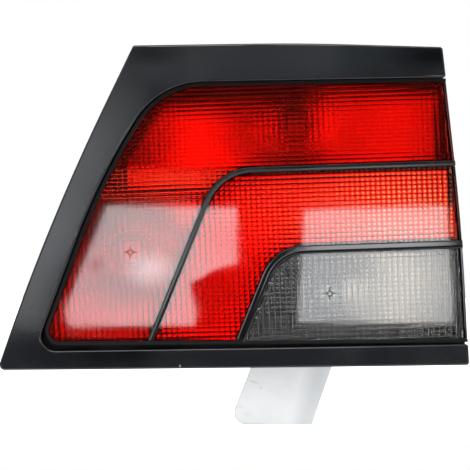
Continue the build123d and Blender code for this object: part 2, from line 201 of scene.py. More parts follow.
def vector_math(tree, operation, source, fixed=(0, 0, 0)):
    """Result of an operation on a vector and a fixed one."""
    node = tree.nodes.new("ShaderNodeVectorMath")
    node.operation = operation
    node.inputs[1].default_value = fixed
    tree.links.new(source, node.inputs[0])
    return node.outputs["Value" if operation in ("LENGTH", "DOT_PRODUCT") else "Vector"]


def placed(tree, x, z, lean, wide, high):
    """Coordinates about a place on the front, in units of a width and a height, at any depth."""
    coords = tree.nodes.new("ShaderNodeTexCoord")
    node = tree.nodes.new("ShaderNodeMapping")
    node.vector_type = "TEXTURE"
    node.inputs["Location"].default_value = (x, 0, z)
    node.inputs["Rotation"].default_value = (0, math.radians(lean), 0)
    node.inputs["Scale"].default_value = (wide, ANY_DEPTH, high)
    tree.links.new(coords.outputs["Object"], node.inputs["Vector"])
    return node.outputs["Vector"]


def patches(tree, spots):
    """Sum of soft spots, each of which fades out from its core."""
    total = None
    for spot in spots:
        about = placed(tree, spot.x * MM, spot.z * MM, spot.lean, spot.wide * MM, spot.high * MM)
        away = vector_math(tree, "LENGTH", about)
        share = ranged(tree, away, spot.strength, 0.0, SPOT_CORE, 1.0)
        total = share if total is None else joined(tree, "ADD", total, share)
    return total


def pillow_dots(tree, node, pitch):
    """1 at the middle of each pillow of a lens and 0 at its edges."""
    low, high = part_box(node)
    middle_x = (low.x + high.x) / 2
    middle_z = (low.z + high.z) / 2
    cell = placed(tree, middle_x, middle_z, -PILLOW_RISE, pitch[0] * MM, pitch[1] * MM)
    for operation in ("ADD", "FRACTION", "SUBTRACT"):
        cell = vector_math(tree, operation, cell, HALF_CELL)
    return ranged(tree, vector_math(tree, "LENGTH", cell), 1.0, 0.0, DOT_CORE, DOT_RIM)


def edges(tree, reach):
    """1 at the edges of a piece and 0 on its faces."""
    rounded = tree.nodes.new("ShaderNodeBevel")
    rounded.inputs["Radius"].default_value = reach
    true = tree.nodes.new("ShaderNodeNewGeometry")
    likeness = tree.nodes.new("ShaderNodeVectorMath")
    likeness.operation = "DOT_PRODUCT"
    tree.links.new(rounded.outputs["Normal"], likeness.inputs[0])
    tree.links.new(true.outputs["Normal"], likeness.inputs[1])
    return ranged(tree, likeness.outputs["Value"], 1.0, 0.0, EDGE_FULL_SHADE, EDGE_WHOLE)


def roughen(tree, bsdf, scale, height):
    noise = noise_of(tree, scale, GRAIN_DETAIL)
    bump = tree.nodes.new("ShaderNodeBump")
    bump.inputs["Strength"].default_value = GRAIN_STRENGTH
    bump.inputs["Distance"].default_value = height
    tree.links.new(noise, bump.inputs["Height"])
    tree.links.new(bump.outputs["Normal"], bsdf.inputs["Normal"])


# Materials: each one has its own grain, so no surface is a single flat value.
# A grain is the scale of its noise and the height of its bumps.
FINE_GRAIN = (900.0, 0.02 * MM)
METAL_GRAIN = (300.0, 0.04 * MM)
FOAM_GRAIN = (1500.0, 0.4 * MM)
# Scale of the noise that varies a material, and the noise values at which it is dark and light.
METAL_SCALE = 80.0
CLEAR_SCALE = 45.0
SOLID_BLEND = (0.35, 0.65)
CLEAR_BLEND = (0.3, 0.7)
# Index of refraction, and least and most roughness.
ACRYLIC = 1.49
THIN_GLASS = 1.2
LENS_ROUGH = (0.03, 0.05)
WALL_ROUGH = (0.0, 0.03)
GLASS_ROUGH = (0.0, 0.02)


def solid(
    name, dark, light, rough, scale=60.0, grain=FINE_GRAIN, metal=0.0, gloss=0.5, marks=(), edge_shade=None
):
    """Opaque material with marks, each a tone and its spots, and with painted shade at its edges where its
    edge shade is given.
    """
    made, tree, bsdf = shader(name)
    noise = noise_of(tree, scale)
    colour = ramp(tree, noise, list(zip(SOLID_BLEND, (dark, light))))
    for tone, spots in marks:
        colour = mixed(tree, patches(tree, spots), colour, tone)
    if edge_shade:
        tone, reach, spots = edge_shade
        share = joined(tree, "MULTIPLY", edges(tree, reach), patches(tree, spots))
        colour = mixed(tree, share, colour, tone)
    tree.links.new(colour, bsdf.inputs["Base Color"])
    tree.links.new(ranged(tree, noise, *rough), bsdf.inputs["Roughness"])
    bsdf.inputs["Metallic"].default_value = metal
    bsdf.inputs["Specular IOR Level"].default_value = gloss
    roughen(tree, bsdf, *grain)
    return made


def reflector(name, dark, light, rough, marks):
    return solid(name, dark, light, rough, METAL_SCALE, METAL_GRAIN, metal=1.0, marks=marks)


def clear(name, dark, light, rough, ior, dots=None):
    """See-through material; its dots, which paint sparkles, are a lens, a pitch, the tone of the pillows'
    middles and spots.
    """
    made, tree, bsdf = shader(name)
    noise = noise_of(tree, CLEAR_SCALE)
    colour = ramp(tree, noise, list(zip(CLEAR_BLEND, (dark, light))))
    if dots:
        node, pitch, tone, spots = dots
        share = joined(tree, "MULTIPLY", pillow_dots(tree, node, pitch), patches(tree, spots))
        colour = mixed(tree, share, colour, tone)
    tree.links.new(colour, bsdf.inputs["Base Color"])
    tree.links.new(ranged(tree, noise, *rough), bsdf.inputs["Roughness"])
    bsdf.inputs["Transmission Weight"].default_value = 1.0
    bsdf.inputs["IOR"].default_value = ior
    return made


# Black mouldings. The bezel has painted shade at its corners and a nick in its lower edge.
BEZEL_SHADE_BLACK = (0.003, 0.0035, 0.004)
NICK_GREY = (0.35, 0.35, 0.36)
RIB_DARK = (0.004, 0.004, 0.0045)
RIB_LIGHT = (0.008, 0.008, 0.009)
BLACK_SCALE = 40.0
bezel_black = solid(
    "bezel_black", (0.010, 0.011, 0.013), (0.015, 0.017, 0.019), (0.04, 0.09), scale=25.0,
    marks=[
        # Painted shade on the lower left bar and on the top bar.
        (BEZEL_SHADE_BLACK, [Spot(-202, -157, 88, 16), Spot(-180, 36, 26, 11), Spot(2, 34, 36, 11, 0.9)]),
        (NICK_GREY, [Spot(-162.2, -166.4, 0.9, 1.5, 0.5)]),
    ],
)
housing_black = solid(
    "housing_black", (0.002, 0.002, 0.0025), (0.005, 0.005, 0.006), (0.45, 0.6), BLACK_SCALE, gloss=0.2
)
rib_black = solid("rib_black", RIB_DARK, RIB_LIGHT, (0.14, 0.22), BLACK_SCALE, gloss=0.3)
rib_gloss = solid("rib_gloss", RIB_DARK, RIB_LIGHT, (0.05, 0.10), BLACK_SCALE)
plug_black = solid("plug_black", (0.012, 0.012, 0.013), (0.022, 0.022, 0.024), (0.35, 0.5))

# Lenses and bulb glass. The pillows' middles are tinted paler in soft spots, so more light comes through
# there: painted sparkles.
lens_red = clear(
    "lens_red", (0.95, 0.035, 0.015), (0.97, 0.045, 0.02), LENS_ROUGH, ACRYLIC,
    ("lens_outer", OUTER_PITCH, (0.99, 0.40, 0.20), [Spot(-166, -45, 44, 9, 0.7)]),
)
lens_orange_red = clear(
    "lens_orange_red", (0.94, 0.03, 0.012), (0.96, 0.04, 0.016), LENS_ROUGH, ACRYLIC,
    (
        "lens_middle", MIDDLE_PITCH, (0.99, 0.85, 0.55),
        [Spot(20, -62, 165, 60), Spot(-30, -75, 70, 30, 0.4)],
    ),
)
lens_clear = clear(
    "lens_clear", (0.76, 0.76, 0.75), (0.80, 0.80, 0.79), LENS_ROUGH, ACRYLIC,
    ("lens_reversing", CLEAR_PITCH, (0.98, 0.98, 0.97), [Spot(-40, -120, 200, 200, 1.25)]),
)
# The return walls are tinted near black: painted shade in place of the side light they would carry to the
# front.
lens_wall_red = clear(
    "lens_wall_red", (0.020, 0.001, 0.001), (0.035, 0.002, 0.002), WALL_ROUGH, ACRYLIC
)
lens_wall_clear = clear("lens_wall_clear", (0.03, 0.03, 0.03), (0.05, 0.05, 0.05), WALL_ROUGH, ACRYLIC)
bulb_glass = clear("bulb_glass", (0.78, 0.79, 0.79), (0.84, 0.84, 0.84), GLASS_ROUGH, THIN_GLASS)
bulb_smoked = clear("bulb_smoked", (0.60, 0.61, 0.61), (0.68, 0.68, 0.68), GLASS_ROUGH, THIN_GLASS)

# Reflectors. Soft spots on them are painted shade and painted highlights that show through the lenses, and
# some are darker copies of the metal, which is painted shade too.
REFLECTOR_SHADE = (0.03, 0.03, 0.03)
DEEP_REFLECTOR_SHADE = (0.012, 0.012, 0.012)
REFLECTOR_HIGHLIGHT = (0.95, 0.95, 0.94)
REFLECTOR_HALF_SHADE = (0.50, 0.50, 0.49)
# A spot of painted shade in its lower part.
reflector_metal = reflector(
    "reflector_metal", (0.86, 0.86, 0.85), (0.93, 0.93, 0.92), (0.03, 0.08),
    [(REFLECTOR_HALF_SHADE, [Spot(-150, -128, 75, 55, 0.9)])],
)
# A darker copy of the metal, which is painted shade, with a deeper painted shade and a painted highlight in
# spots.
reflector_shaded_rough = reflector(
    "reflector_shaded_rough", (0.56, 0.56, 0.55), (0.64, 0.64, 0.63), (0.12, 0.22),
    [
        (DEEP_REFLECTOR_SHADE, [Spot(-87, 10, 27, 21), Spot(-87, -10, 15, 48, 0.5)]),
        (REFLECTOR_HIGHLIGHT, [Spot(-165, -45, 42, 9)]),
    ],
)
# A darker and rougher copy of the metal, whose darkness is painted shade, with spots of painted shade and
# painted highlights.
reflector_dull = reflector(
    "reflector_dull", (0.24, 0.235, 0.22), (0.32, 0.31, 0.29), (0.22, 0.34),
    [
        (
            REFLECTOR_SHADE,
            [
                Spot(-214, -72, 32, 34, 0.75),
                Spot(-200, -144, 70, 9, 0.5),
                Spot(-239, -106, 12, 64, lean=22),
            ],
        ),
        (REFLECTOR_HIGHLIGHT, [Spot(-165, -57, 48, 9), Spot(-152, -68, 20, 16, 0.6)]),
    ],
)
# A darker, warm-tinted copy of the metal, which is painted shade, with painted shade over its left and
# along its bottom.
reflector_shaded_warm = reflector(
    "reflector_shaded_warm", (0.28, 0.243, 0.194), (0.37, 0.320, 0.256), (0.03, 0.08),
    [(REFLECTOR_SHADE, [Spot(-105, -120, 92, 200), Spot(-20, -149, 120, 13)])],
)

# Seals, metals and the white pieces. The bracket is scuffed, with painted shade at its left edges and on
# its bent right strip.
EDGE_SHADE_GREY = (0.22, 0.23, 0.24)
SCUFF_AND_SHADE_GREY = (0.50, 0.53, 0.54)
EDGE_SHADE_REACH = 1.3 * MM
carrier_white = solid("carrier_white", (0.62, 0.61, 0.57), (0.72, 0.71, 0.67), (0.35, 0.5))
gasket_rubber = solid("gasket_rubber", (0.018, 0.018, 0.019), (0.035, 0.035, 0.036), (0.6, 0.8))
seal_foam = solid(
    "seal_foam", (0.02, 0.02, 0.022), (0.06, 0.06, 0.064), (0.8, 0.95), scale=700.0, grain=FOAM_GRAIN
)
brass = solid("brass", (0.62, 0.42, 0.16), (0.78, 0.56, 0.26), (0.2, 0.38), scale=120.0, metal=1.0)
zinc_steel = solid(
    "zinc_steel", (0.50, 0.50, 0.48), (0.70, 0.69, 0.64), (0.22, 0.4), scale=300.0, metal=1.0
)
tungsten = solid("tungsten", (0.25, 0.25, 0.26), (0.4, 0.4, 0.41), (0.3, 0.45), scale=400.0, metal=1.0)
bracket_white = solid(
    "bracket_white", (0.80, 0.82, 0.82), (0.87, 0.88, 0.88), (0.3, 0.45), scale=50.0,
    marks=[
        (
            SCUFF_AND_SHADE_GREY,
            [
                # Painted shade on the bent right strip; the smaller spots below are scuffs.
                Spot(-74.5, -186, 12, 44, 0.55, lean=15),
                Spot(-114.5, -178, 5, 0.9, 0.5, lean=20),
                Spot(-109.8, -181.8, 1.6, 1.3, 0.4),
                Spot(-124, -194, 4, 2, 0.2),
                Spot(-119, -199, 4, 2, 0.15),
            ],
        )
    ],
    # Painted shade along the left edges.
    edge_shade=(EDGE_SHADE_GREY, EDGE_SHADE_REACH, [Spot(-132, -190, 34, 60, 1.5)]),
)

# The finish of each CAD node: by its own name, or else by how its name starts.
FINISH = {
    "bezel": bezel_black,
    "housing": housing_black,
    "bulb_carrier": carrier_white,
    "carrier_seal": gasket_rubber,
    "body_seal": seal_foam,
    "earth_strip": brass,
    "connector_shroud": plug_black,
    "connector_pins": brass,
    "fixing_bracket": bracket_white,
    "bezel_screws": zinc_steel,
    "bracket_screws": zinc_steel,
    "bulb_reversing": bulb_smoked,
    "reflector_upper": reflector_shaded_rough,
    "reflector_lower_left": reflector_dull,
    "reflector_reversing": reflector_shaded_warm,
}
GROUPS = {
    "lens_": lens_red,
    "reflector_": reflector_metal,
    "bulb_": bulb_glass,
    "cap_": zinc_steel,
    "filament_": tungsten,
    "socket_": zinc_steel,
    "stud_": zinc_steel,
}
for name, obj in nodes.items():
    finish = FINISH.get(name)
    if finish is None:
        finish = next(group for start, group in GROUPS.items() if name.startswith(start))
    obj.data.materials.clear()
    obj.data.materials.append(finish)

# Lens panels: the plates with moulded optics on their inner face. Sizes are in millimetres.
# Grid lines across one pillow of pitch 1, with a groove at its edges.
GROOVE_AT = 0.42
PLACES = np.array([-0.5, -GROOVE_AT, -0.21, 0.0, 0.21, GROOVE_AT])
# The pillows start in front of the inner face, and their cutter ends behind it.
PILLOW_SINK = 0.55
CUT_PAST = 1.0
GRID_OVERHANG = 8.0
# How rays find the plate, and how far the pillows stay from its edges.
RAY_START = -200.0
RAY_SKIN = 0.01
PLATE_SLACK = 0.4
PLATE_MARGIN = 0.5
MARGIN_SLACK = 0.01
# Vertices to weld, corners that lie on the front, faces of the return wall, and sharp edges in degrees.
WELD = 0.002
FRONT_SLACK = 0.02
WALL_BEHIND = 1.5
LENS_SHARP = 20


def inner_face(x, z, depth):
    """y of the sphere that lies depth behind the lens front, in millimetres."""
    reach = (CROWN_R - depth) ** 2 - (x - CROWN[0]) ** 2 - (z - CROWN[2]) ** 2
    return CROWN[1] - np.sqrt(reach)


def outer_optics(x, z):
    """Depths on the outer lens: pillows above, a deeper strip, and low pillows that turn to flutes."""
    upper = z > UPPER_END
    strip = upper & (z < STRIP_TOP)
    fluted = np.clip((FLUTES_TOP - z) / FLUTES_BLEND, 0, 1)
    kinds = zip(STRIP_OPTICS, UPPER_OPTICS, LOW_OPTICS, FLUTE_OPTICS)
    return [
        np.where(strip, in_strip, np.where(upper, above, low + (flute - low) * fluted))
        for in_strip, above, low, flute in kinds
    ]


def even_optics(depths):
    """Depths that are the same all over a lens."""
    return lambda x, z: [np.full(x.shape, depth) for depth in depths]


def plate_mask(tree, x, z, step):
    """True where the lens is a plate, clear of its edges and of its return wall by a margin."""
    found = np.zeros(x.shape, bool)
    ahead = Vector((0, 1, 0))
    for index in np.ndindex(x.shape):
        start = Vector((x[index] * MM, RAY_START * MM, z[index] * MM))
        front = tree.ray_cast(start, ahead)[0]
        if front is None:
            continue
        back = tree.ray_cast(front + ahead * RAY_SKIN * MM, ahead)[0]
        if back is not None and (back - front).length < (LENS_T + PLATE_SLACK) * MM:
            found[index] = True
    kept = found.copy()
    reach = int(math.ceil(PLATE_MARGIN / step))
    padded = np.pad(found, reach)
    rows, columns = found.shape
    for i in range(-reach, reach + 1):
        for j in range(-reach, reach + 1):
            if math.hypot(i, j) * step <= PLATE_MARGIN + MARGIN_SLACK:
                kept &= padded[reach + i : reach + i + rows, reach + j : reach + j + columns]
    return kept


def without_corner_touch(mask):
    """Fills cells until no two cells of the mask touch at a corner only."""
    while True:
        a, b = mask[:-1, :-1], mask[1:, 1:]
        c, d = mask[1:, :-1], mask[:-1, 1:]
        first = a & b & ~c & ~d
        second = c & d & ~a & ~b
        if not first.any() and not second.any():
            return mask
        mask = mask.copy()
        mask[1:, :-1] |= first
        mask[:-1, :-1] |= second


def pillow_grid(low, high, pitch):
    """Points x and z over a lens on the turned grid of its pillows, and the place of each in its pillow."""
    turn = math.radians(PILLOW_RISE)
    centre = (low + high) / 2
    half = np.abs(high - low) / 2 + GRID_OVERHANG
    lines = []
    for reach, size in zip(half, pitch):
        count = math.ceil(reach / size)
        lines.append((np.arange(-count, count + 1)[:, None] + PLACES[None, :]).ravel() * size)
    u, v = np.meshgrid(*lines, indexing="ij")
    x = centre[0] + u * math.cos(turn) - v * math.sin(turn)
    z = centre[1] + u * math.sin(turn) + v * math.cos(turn)
    places = [along / size - np.round(along / size) for along, size in zip((u, v), pitch)]
    return x, z, places


def profile(place, sag, groove):
    """Depth across one pillow: a round back with a narrow groove at its edges."""
    in_groove = np.clip((np.abs(place) - GROOVE_AT) / (0.5 - GROOVE_AT), 0, 1)
    return 4 * sag * place**2 + groove * in_groove


def field_solid(name, x, z, front, back, mask):
    """Closed solid between two heights over the cells of a mask."""
    used = np.zeros(x.shape, bool)
    for cells in (used[:-1, :-1], used[1:, :-1], used[:-1, 1:], used[1:, 1:]):
        cells[mask] = True
    total = int(used.sum())
    index = np.full(x.shape, -1)
    index[used] = np.arange(total)
    verts = np.concatenate([np.stack([x[used], y[used], z[used]], axis=1) for y in (front, back)])
    a, b = index[:-1, :-1][mask], index[1:, :-1][mask]
    c, d = index[1:, 1:][mask], index[:-1, 1:][mask]
    faces = [np.stack([a, b, c, d], axis=1), np.stack([d, c, b, a], axis=1) + total]
    wide = np.pad(mask, 1)
    sides = [
        (wide[:-2, 1:-1], index[:-1, :-1], index[:-1, 1:]),
        (wide[2:, 1:-1], index[1:, 1:], index[1:, :-1]),
        (wide[1:-1, :-2], index[1:, :-1], index[:-1, :-1]),
        (wide[1:-1, 2:], index[:-1, 1:], index[1:, 1:]),
    ]
    for neighbour, first, second in sides:
        rim = mask & ~neighbour
        p, q = first[rim], second[rim]
        faces.append(np.stack([p, q, q + total, p + total], axis=1))
    return mesh_object(name, verts * MM, np.concatenate(faces))


def optics_cutter(name, tree, low, high, pitch, optics):
    """Solid to cut from a lens: its front is a field of pillows, its back is behind the lens."""
    x, z, places = pillow_grid(low, high, pitch)
    middle_x = (x[:-1, :-1] + x[1:, 1:]) / 2
    middle_z = (z[:-1, :-1] + z[1:, 1:]) / 2
    mask = plate_mask(tree, middle_x, middle_z, min(pitch) / len(PLACES))
    sag_across, sag_up, groove_across, groove_up = optics(x, z)
    depth = profile(places[0], sag_across, groove_across) + profile(places[1], sag_up, groove_up)
    inside = inner_face(x, z, LENS_T)
    front = inside - PILLOW_SINK - depth
    return field_solid(name, x, z, front, inside + CUT_PAST, without_corner_touch(mask))


def polish_front(mesh):
    """Gives the corners of the crowned front the normals of the true crown."""
    normals = np.zeros(len(mesh.loops) * 3, np.float32)
    mesh.corner_normals.foreach_get("vector", normals)
    normals = normals.reshape(-1, 3)
    points = np.zeros(len(mesh.vertices) * 3, np.float32)
    mesh.vertices.foreach_get("co", points)
    spoke = points.reshape(-1, 3) - CROWN * MM
    distance = np.linalg.norm(spoke, axis=1)
    on_front = np.abs(distance - CROWN_R * MM) < FRONT_SLACK * MM
    corner_of = np.zeros(len(mesh.loops), np.int32)
    mesh.loops.foreach_get("vertex_index", corner_of)
    start = np.zeros(len(mesh.polygons), np.int32)
    size = np.zeros(len(mesh.polygons), np.int32)
    mesh.polygons.foreach_get("loop_start", start)
    mesh.polygons.foreach_get("loop_total", size)
    front_face = np.add.reduceat(on_front[corner_of].astype(int), start) == size
    chosen = np.repeat(front_face, size)
    normals[chosen] = (spoke / distance[:, None])[corner_of][chosen]
    mesh.normals_split_custom_set(normals.tolist())


def lens_piece(node, finish, wall, pitch, optics):
    """Lens with its optics cut in: its finish on the plate, the wall's on the return wall."""
    bm = bmesh.new()
    bm.from_mesh(nodes[node].data)
    bmesh.ops.remove_doubles(bm, verts=bm.verts, dist=WELD * MM)
    tree = BVHTree.FromBMesh(bm)
    mesh = bpy.data.meshes.new(node + "_optics")
    bm.to_mesh(mesh)
    bm.free()
    piece = link(bpy.data.objects.new(node + "_optics", mesh))
    corners = [np.array([c[0], c[2]]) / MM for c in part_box(node)]
    cutter = optics_cutter(node + "_cutter", tree, *corners, pitch, optics)
    cut = piece.modifiers.new("optics", "BOOLEAN")
    cut.operation = "DIFFERENCE"
    cut.solver = "MANIFOLD"
    cut.object = cutter
    evaluated = piece.evaluated_get(bpy.context.evaluated_depsgraph_get())
    piece.data = bpy.data.meshes.new_from_object(evaluated)
    piece.modifiers.clear()
    bpy.data.objects.remove(cutter)
    smooth(piece.data, LENS_SHARP)
    polish_front(piece.data)
    piece.data.materials.clear()
    piece.data.materials.append(finish)
    piece.data.materials.append(wall)
    for face in piece.data.polygons:
        x, y, z = face.center / MM
        face.material_index = int(y > inner_face(x, z, LENS_T) + WALL_BEHIND)
    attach(piece, "root")
    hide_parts(node)


middle_optics = even_optics(MIDDLE_OPTICS)
clear_optics = even_optics(CLEAR_OPTICS)
lens_piece("lens_outer", lens_red, lens_wall_red, OUTER_PITCH, outer_optics)
lens_piece("lens_middle", lens_orange_red, lens_wall_red, MIDDLE_PITCH, middle_optics)
lens_piece("lens_reversing", lens_clear, lens_wall_clear, CLEAR_PITCH, clear_optics)

# Beads on the two ribs, in millimetres and degrees.
RIB_LEAN = 22
RIB_RISE = 2
LEG_STEPS = 24
BEND_STEPS = 28
ARM_STEPS = 36
# Section of a bead: heights of its sides and foot, share of its width at the foot, and its rounding.
BEAD_STEPS = 31
BEAD_SHOULDER = 0.3
BEAD_FOOT = 0.02
BEAD_TUCK = 0.97
BEAD_FLATNESS = 14
BEAD_ROUNDING = 1 / 6
BEAD_SHARP = 40


def rib_line(corner, bend, low, right):
    """Points along a rib: up its leaning leg, round the bend and along to the right."""
    lean = math.radians(RIB_LEAN)
    rise = math.radians(RIB_RISE)
    down = np.array([-math.sin(lean), -math.cos(lean)])
    along = np.array([math.cos(rise), math.sin(rise)])
    corner = np.array(corner)
    half = math.acos(down.dot(along)) / 2
    reach = bend / math.tan(half)
    bisector = (down + along) / np.linalg.norm(down + along)
    centre = corner + bisector * bend / math.sin(half)
    foot = corner + down * (corner[1] - low) / math.cos(lean)
    end = corner + along * (right - corner[0]) / math.cos(rise)
    first = corner + down * reach
    last = corner + along * reach
    start = math.atan2(*(first - centre)[::-1])
    turn = math.atan2(*(last - centre)[::-1]) - start
    turn = (turn + math.pi) % FULL_TURN - math.pi
    angles = start + turn * np.linspace(0, 1, BEND_STEPS)
    arc = [centre + bend * np.array([math.cos(a), math.sin(a)]) for a in angles]
    leg = [foot + (first - foot) * t for t in np.linspace(0, 1, LEG_STEPS, endpoint=False)]
    arm = [last + (end - last) * t for t in np.linspace(0, 1, ARM_STEPS)[1:]]
    return np.array(leg + arc + arm)


def bead(name, line, finish, half_width, height, ridge, bows):
    """Cap that follows a rib: it falls by its bows on the low and high side of the ridge."""
    spots = np.sin(np.linspace(-1, 1, BEAD_STEPS) * math.pi / 2)
    low_side = spots < ridge
    away = np.where(low_side, (ridge - spots) / (ridge + 1), (spots - ridge) / (1 - ridge))
    top = height - np.where(low_side, *bows) * away**2
    fullness = np.clip(1 - np.abs(spots) ** BEAD_FLATNESS, 0, 1) ** BEAD_ROUNDING
    rise = BEAD_SHOULDER + (top - BEAD_SHOULDER) * fullness
    rise = np.concatenate([[BEAD_FOOT], rise, [BEAD_FOOT]])
    across = np.concatenate([[-BEAD_TUCK], spots, [BEAD_TUCK]]) * half_width
    ahead = np.gradient(line, axis=0)
    ahead = ahead / np.linalg.norm(ahead, axis=1)[:, None]
    side = np.stack([-ahead[:, 1], ahead[:, 0]], axis=1)
    verts = []
    for point, normal in zip(line, side):
        for n, h in zip(across, rise):
            x, z = point + normal * n
            spoke = np.array([x, float(inner_face(x, z, 0.0)), z]) - CROWN
            verts.append(CROWN + spoke * (1 + h / CROWN_R))
    count = len(across)
    faces = []
    for i in range(len(line) - 1):
        for j in range(count):
            k = (j + 1) % count
            faces.append((i * count + j, i * count + k, (i + 1) * count + k, (i + 1) * count + j))
    faces.append(tuple(range(count))[::-1])
    faces.append(tuple(range((len(line) - 1) * count, len(line) * count)))
    made = mesh_object(name, np.array(verts) * MM, faces)
    smooth(made.data, BEAD_SHARP)
    add(made, finish)


outer_line = rib_line(corner=(-137.15, -40.8), bend=33.0, low=-149.8, right=15.0)
inner_line = rib_line(corner=(-99.8, -91.9), bend=27.0, low=-149.6, right=19.8)
bead("outer_rib_bead", outer_line, rib_black, half_width=1.72, height=1.6, ridge=0.1, bows=(0.12, 0.10))
bead("inner_rib_bead", inner_line, rib_gloss, half_width=2.7, height=1.6, ridge=-0.1, bows=(0.5, 0.0))

# Star marks of the lower left and the clear lens, in millimetres.
STAR_STEPS = 64
STAR_POINTS = 4
STAR_RING = 2.0
STAR_HOLE = 1.25
STAR_REACH = 3.0
STAR_SLIMNESS = 3.0
STAR_TAPER = 1.5
STAR_PROUD = 0.06
STAR_SUNK = 0.3
MARK_SCALE = 400.0
MARK_ROUGH = (0.55, 0.7)


def star(name, x, z, finish):
    """Moulded mark: a ring with four points, just proud of the lens."""
    outer = []
    inner = []
    for i in range(STAR_STEPS):
        angle = FULL_TURN * i / STAR_STEPS
        from_point = abs((angle / (FULL_TURN / STAR_POINTS) + 0.5) % 1 - 0.5) * 2
        spike = max(0.0, 1 - from_point * STAR_SLIMNESS) ** STAR_TAPER
        outer.append((angle, STAR_RING + STAR_REACH * spike))
        inner.append((angle, STAR_HOLE))
    verts = []
    for depth in (-STAR_PROUD, STAR_SUNK):
        for ring in (outer, inner):
            for angle, radius in ring:
                at_x = x + radius * math.cos(angle)
                at_z = z + radius * math.sin(angle)
                verts.append((at_x, float(inner_face(at_x, at_z, depth)), at_z))
    rings = [0, STAR_STEPS, 3 * STAR_STEPS, 2 * STAR_STEPS]
    faces = []
    for i in range(STAR_STEPS):
        k = (i + 1) % STAR_STEPS
        for a, b in zip(rings, rings[1:] + rings[:1]):
            faces.append((a + i, a + k, b + k, b + i))
    add(mesh_object(name, np.array(verts) * MM, faces), finish)


mark_red = solid("mark_red", (0.28, 0.03, 0.025), (0.40, 0.05, 0.04), MARK_ROUGH, MARK_SCALE)
mark_grey = solid("mark_grey", (0.05, 0.05, 0.05), (0.09, 0.09, 0.085), MARK_ROUGH, MARK_SCALE)
star("star_lower_left", -194.3, -93.0, mark_red)
star("star_reversing", -65.6, -119.6, mark_grey)

# Threads of the studs, in millimetres. The turned ends are places along the stud with their radius.
STUD_BASE = [(-11.5, 3.4), (-3.0, 3.4), (-3.0, 6.0), (-1.7, 6.0), (-1.5, 5.8), (-1.5, 2.95)]
STUD_TIP = [(19.3, 2.6), (20.0, 2.25)]
STUD_SIDES = 36
STUD_SHARP = 35
THREAD_START = -0.5
THREAD_END = 18.9
THREAD_PITCH = 1.0
THREAD_STEP = THREAD_PITCH / 6
THREAD_R = 2.98
THREAD_DEPTH = 0.55


def threaded(node):
    """Stud whose shaft carries a thread between its turned ends."""
    low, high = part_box(node)
    x = (low.x + high.x) / 2 / MM
    z = (low.z + high.z) / 2 / MM
    shaft = [(y, None) for y in np.arange(THREAD_START, THREAD_END, THREAD_STEP)]
    turned = STUD_BASE + shaft + STUD_TIP
    verts = []
    for y, radius in turned:
        for i in range(STUD_SIDES):
            angle = FULL_TURN * i / STUD_SIDES
            wave = abs(2 * ((y / THREAD_PITCH - i / STUD_SIDES) % 1.0) - 1)
            reach = radius if radius else THREAD_R - THREAD_DEPTH * wave
            verts.append((x + reach * math.cos(angle), y, z + reach * math.sin(angle)))
    faces = []
    for j in range(len(turned) - 1):
        near = j * STUD_SIDES
        far = near + STUD_SIDES
        for i in range(STUD_SIDES):
            k = (i + 1) % STUD_SIDES
            faces.append((near + i, far + i, far + k, near + k))
    faces.append(tuple(range(STUD_SIDES)))
    faces.append(tuple(range(len(verts) - STUD_SIDES, len(verts)))[::-1])
    made = mesh_object(node + "_threaded", np.array(verts) * MM, faces)
    smooth(made.data, STUD_SHARP)
    add(made, zinc_steel)
    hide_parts(node)


for node in ("stud_upper_right", "stud_lower_left", "stud_lower_right"):
    threaded(node)

# Camera: square on, as the lamp is seen from behind the car. It and the floor are in metres.
TARGET = Vector((-0.12675, -0.060, -0.08185))
DISTANCE = 2.0
SPAN = 0.3029
SENSOR_MM = 36.0
camera = bpy.data.cameras.new("camera")
camera.sensor_width = SENSOR_MM
camera.lens = SENSOR_MM * DISTANCE / SPAN
eye = link(bpy.data.objects.new("camera", camera))
eye.location = TARGET + Vector((0, -DISTANCE, 0))
eye.rotation_euler = (math.radians(90), 0, 0)
scene.camera = eye

# Floor: pale paper under the lamp, which the camera sees as white.
FLOOR_FRONT = -0.22
FLOOR_REACH = 4
PAPER_SCALE = 30.0
PAPER_STOPS = [(0.3, (0.88, 0.88, 0.88)), (0.7, (0.92, 0.92, 0.92))]
PAPER_ROUGH = 0.9
PAPER_GLOW = 0.6
floor = mesh_object(
    "floor",
    [
        (-FLOOR_REACH, FLOOR_FRONT, cad_low.z),
        (FLOOR_REACH, FLOOR_FRONT, cad_low.z),
        (FLOOR_REACH, FLOOR_REACH, cad_low.z),
        (-FLOOR_REACH, FLOOR_REACH, cad_low.z),
    ],
    [(0, 1, 2, 3)],
)
paper, paper_tree, paper_bsdf = shader("paper")
paper_colour = ramp(paper_tree, noise_of(paper_tree, PAPER_SCALE), PAPER_STOPS)
paper_tree.links.new(paper_colour, paper_bsdf.inputs["Base Color"])
paper_bsdf.inputs["Roughness"].default_value = PAPER_ROUGH
paper_bsdf.inputs["Emission Color"].default_value = (*WHITE, 1.0)
paper_path = paper_tree.nodes.new("ShaderNodeLightPath")
paper_glow = ranged(paper_tree, paper_path.outputs["Is Camera Ray"], 0.0, PAPER_GLOW, 0.0, 1.0)
paper_tree.links.new(paper_glow, paper_bsdf.inputs["Emission Strength"])
floor.data.materials.append(paper)

# World: soft light, brighter above and towards the right, dark round the camera and at the far right.
HEIGHT_STOPS = [(0.0, (0.35, 0.35, 0.36)), (0.5, (0.8, 0.8, 0.82)), (0.75, (1.35, 1.35, 1.38))]
CAMERA_STOPS = [(0.84, WHITE), (0.95, (0.03, 0.03, 0.034))]
SIDE_STOPS = [(0.72, WHITE), (0.82, (2.0, 2.0, 2.0)), (0.91, (1.8, 1.8, 1.8)), (0.97, (0.08, 0.08, 0.085))]
TOWARD_CAMERA = (0.0, -1.0, 0.0)
LEFT_FADE = (-0.45, -0.3)
LOW_FADE = (0.02, 0.10)
LOW_LEFT_GAIN = 1.9
GLOSSY_SHARE = 0.5


